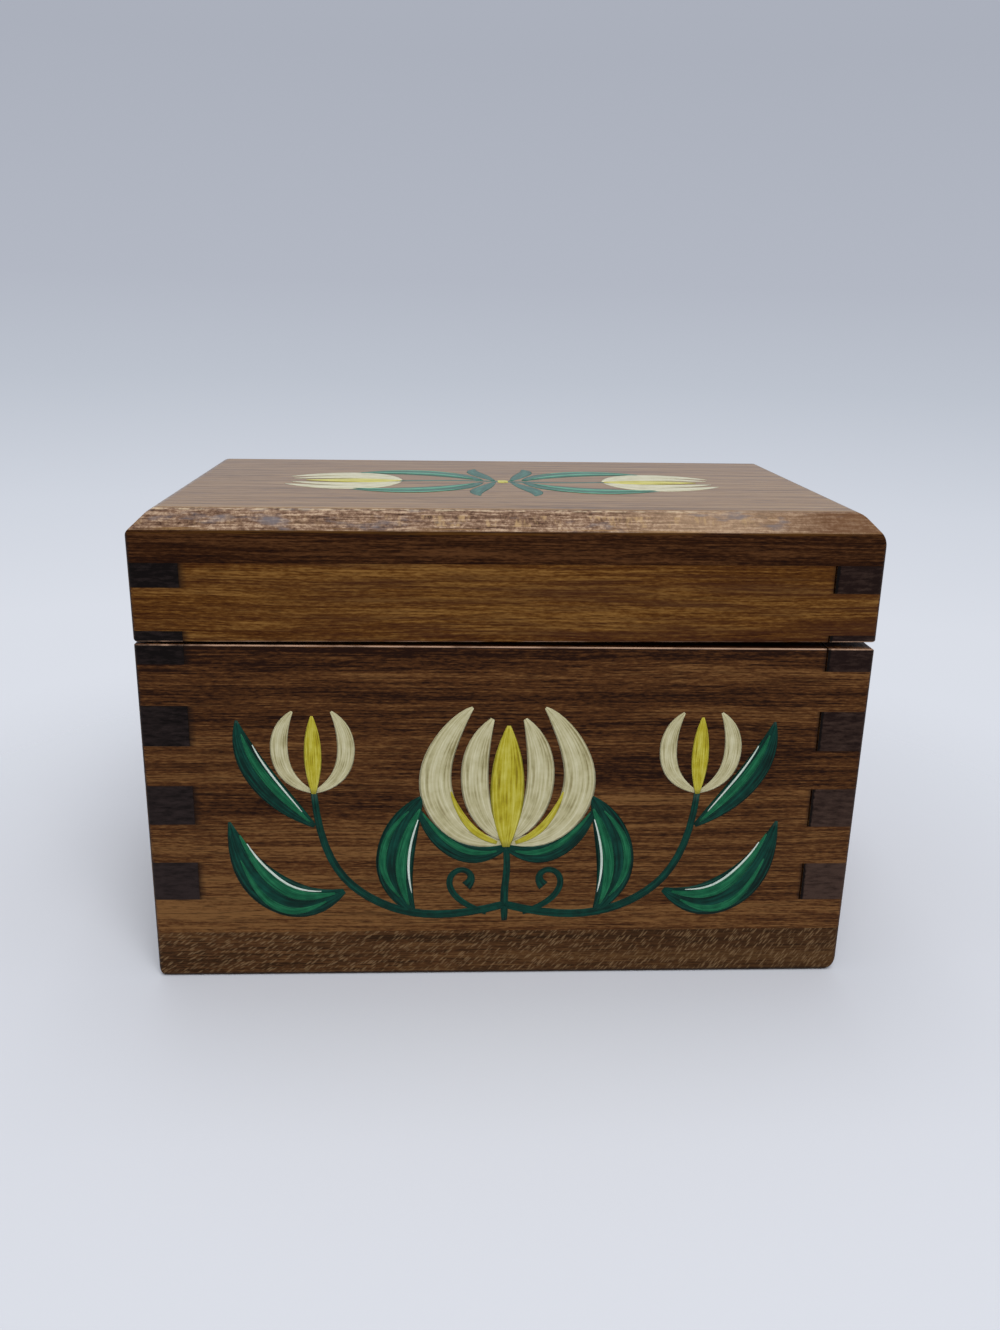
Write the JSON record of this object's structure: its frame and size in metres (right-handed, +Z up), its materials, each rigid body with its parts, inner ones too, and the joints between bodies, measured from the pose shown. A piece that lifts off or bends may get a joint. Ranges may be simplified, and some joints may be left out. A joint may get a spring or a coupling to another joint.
{
  "type": "playing card box",
  "caption": "Rectangular dark-stained wooden box with finger-jointed corners, for playing cards; its bevelled lid is sawn from the same walls and swings up on butt hinges at the back.",
  "frame": {"origin": "middle of the underside of the bottom board, without the hinges", "axes": "+X to the right along the front, +Y from the front to the hinged back, +Z up"},
  "size_m": [0.1525, 0.0926, 0.1046],
  "materials": {
    "front_board": "dark stain, satin wax",
    "back_board": "dark stain, satin wax",
    "side_board": "dark stain, satin wax",
    "bottom_board": "dark stain, satin wax",
    "lid_board": "dark stain, satin wax",
    "top_board": "dark stain, satin wax, worn edges",
    "hinge_brass": "pressed brass, lightly tarnished",
    "hinge_pin": "drawn steel",
    "screw_brass": "turned brass",
    "cream_paint": "brushed artist's paint",
    "yellow_paint": "brushed artist's paint",
    "green_paint": "brushed artist's paint"
  },
  "bodies": {
    "base": {"base_front_wall": "front_board", "base_back_wall": "back_board", "base_left_wall": "side_board", "base_right_wall": "side_board", "bottom_board": "bottom_board", "left_hinge_base_leaf": "hinge_brass", "left_hinge_pin": "hinge_pin", "left_hinge_base_screws": "screw_brass", "right_hinge_base_leaf": "hinge_brass", "right_hinge_pin": "hinge_pin", "right_hinge_base_screws": "screw_brass"},
    "lid": {"lid_front_wall": "lid_board", "lid_back_wall": "lid_board", "lid_left_wall": "side_board", "lid_right_wall": "side_board", "top_board": "top_board", "left_hinge_lid_leaf": "hinge_brass", "left_hinge_lid_screws": "screw_brass", "right_hinge_lid_leaf": "hinge_brass", "right_hinge_lid_screws": "screw_brass"}
  },
  "joints": [
    {"name": "lid_hinge", "type": "hinge", "parent": "base", "child": "lid", "pos_m": [0, 0.0464, 0.0772], "axis": [-1, 0, 0], "range_deg": [0, 188]}
  ]
}
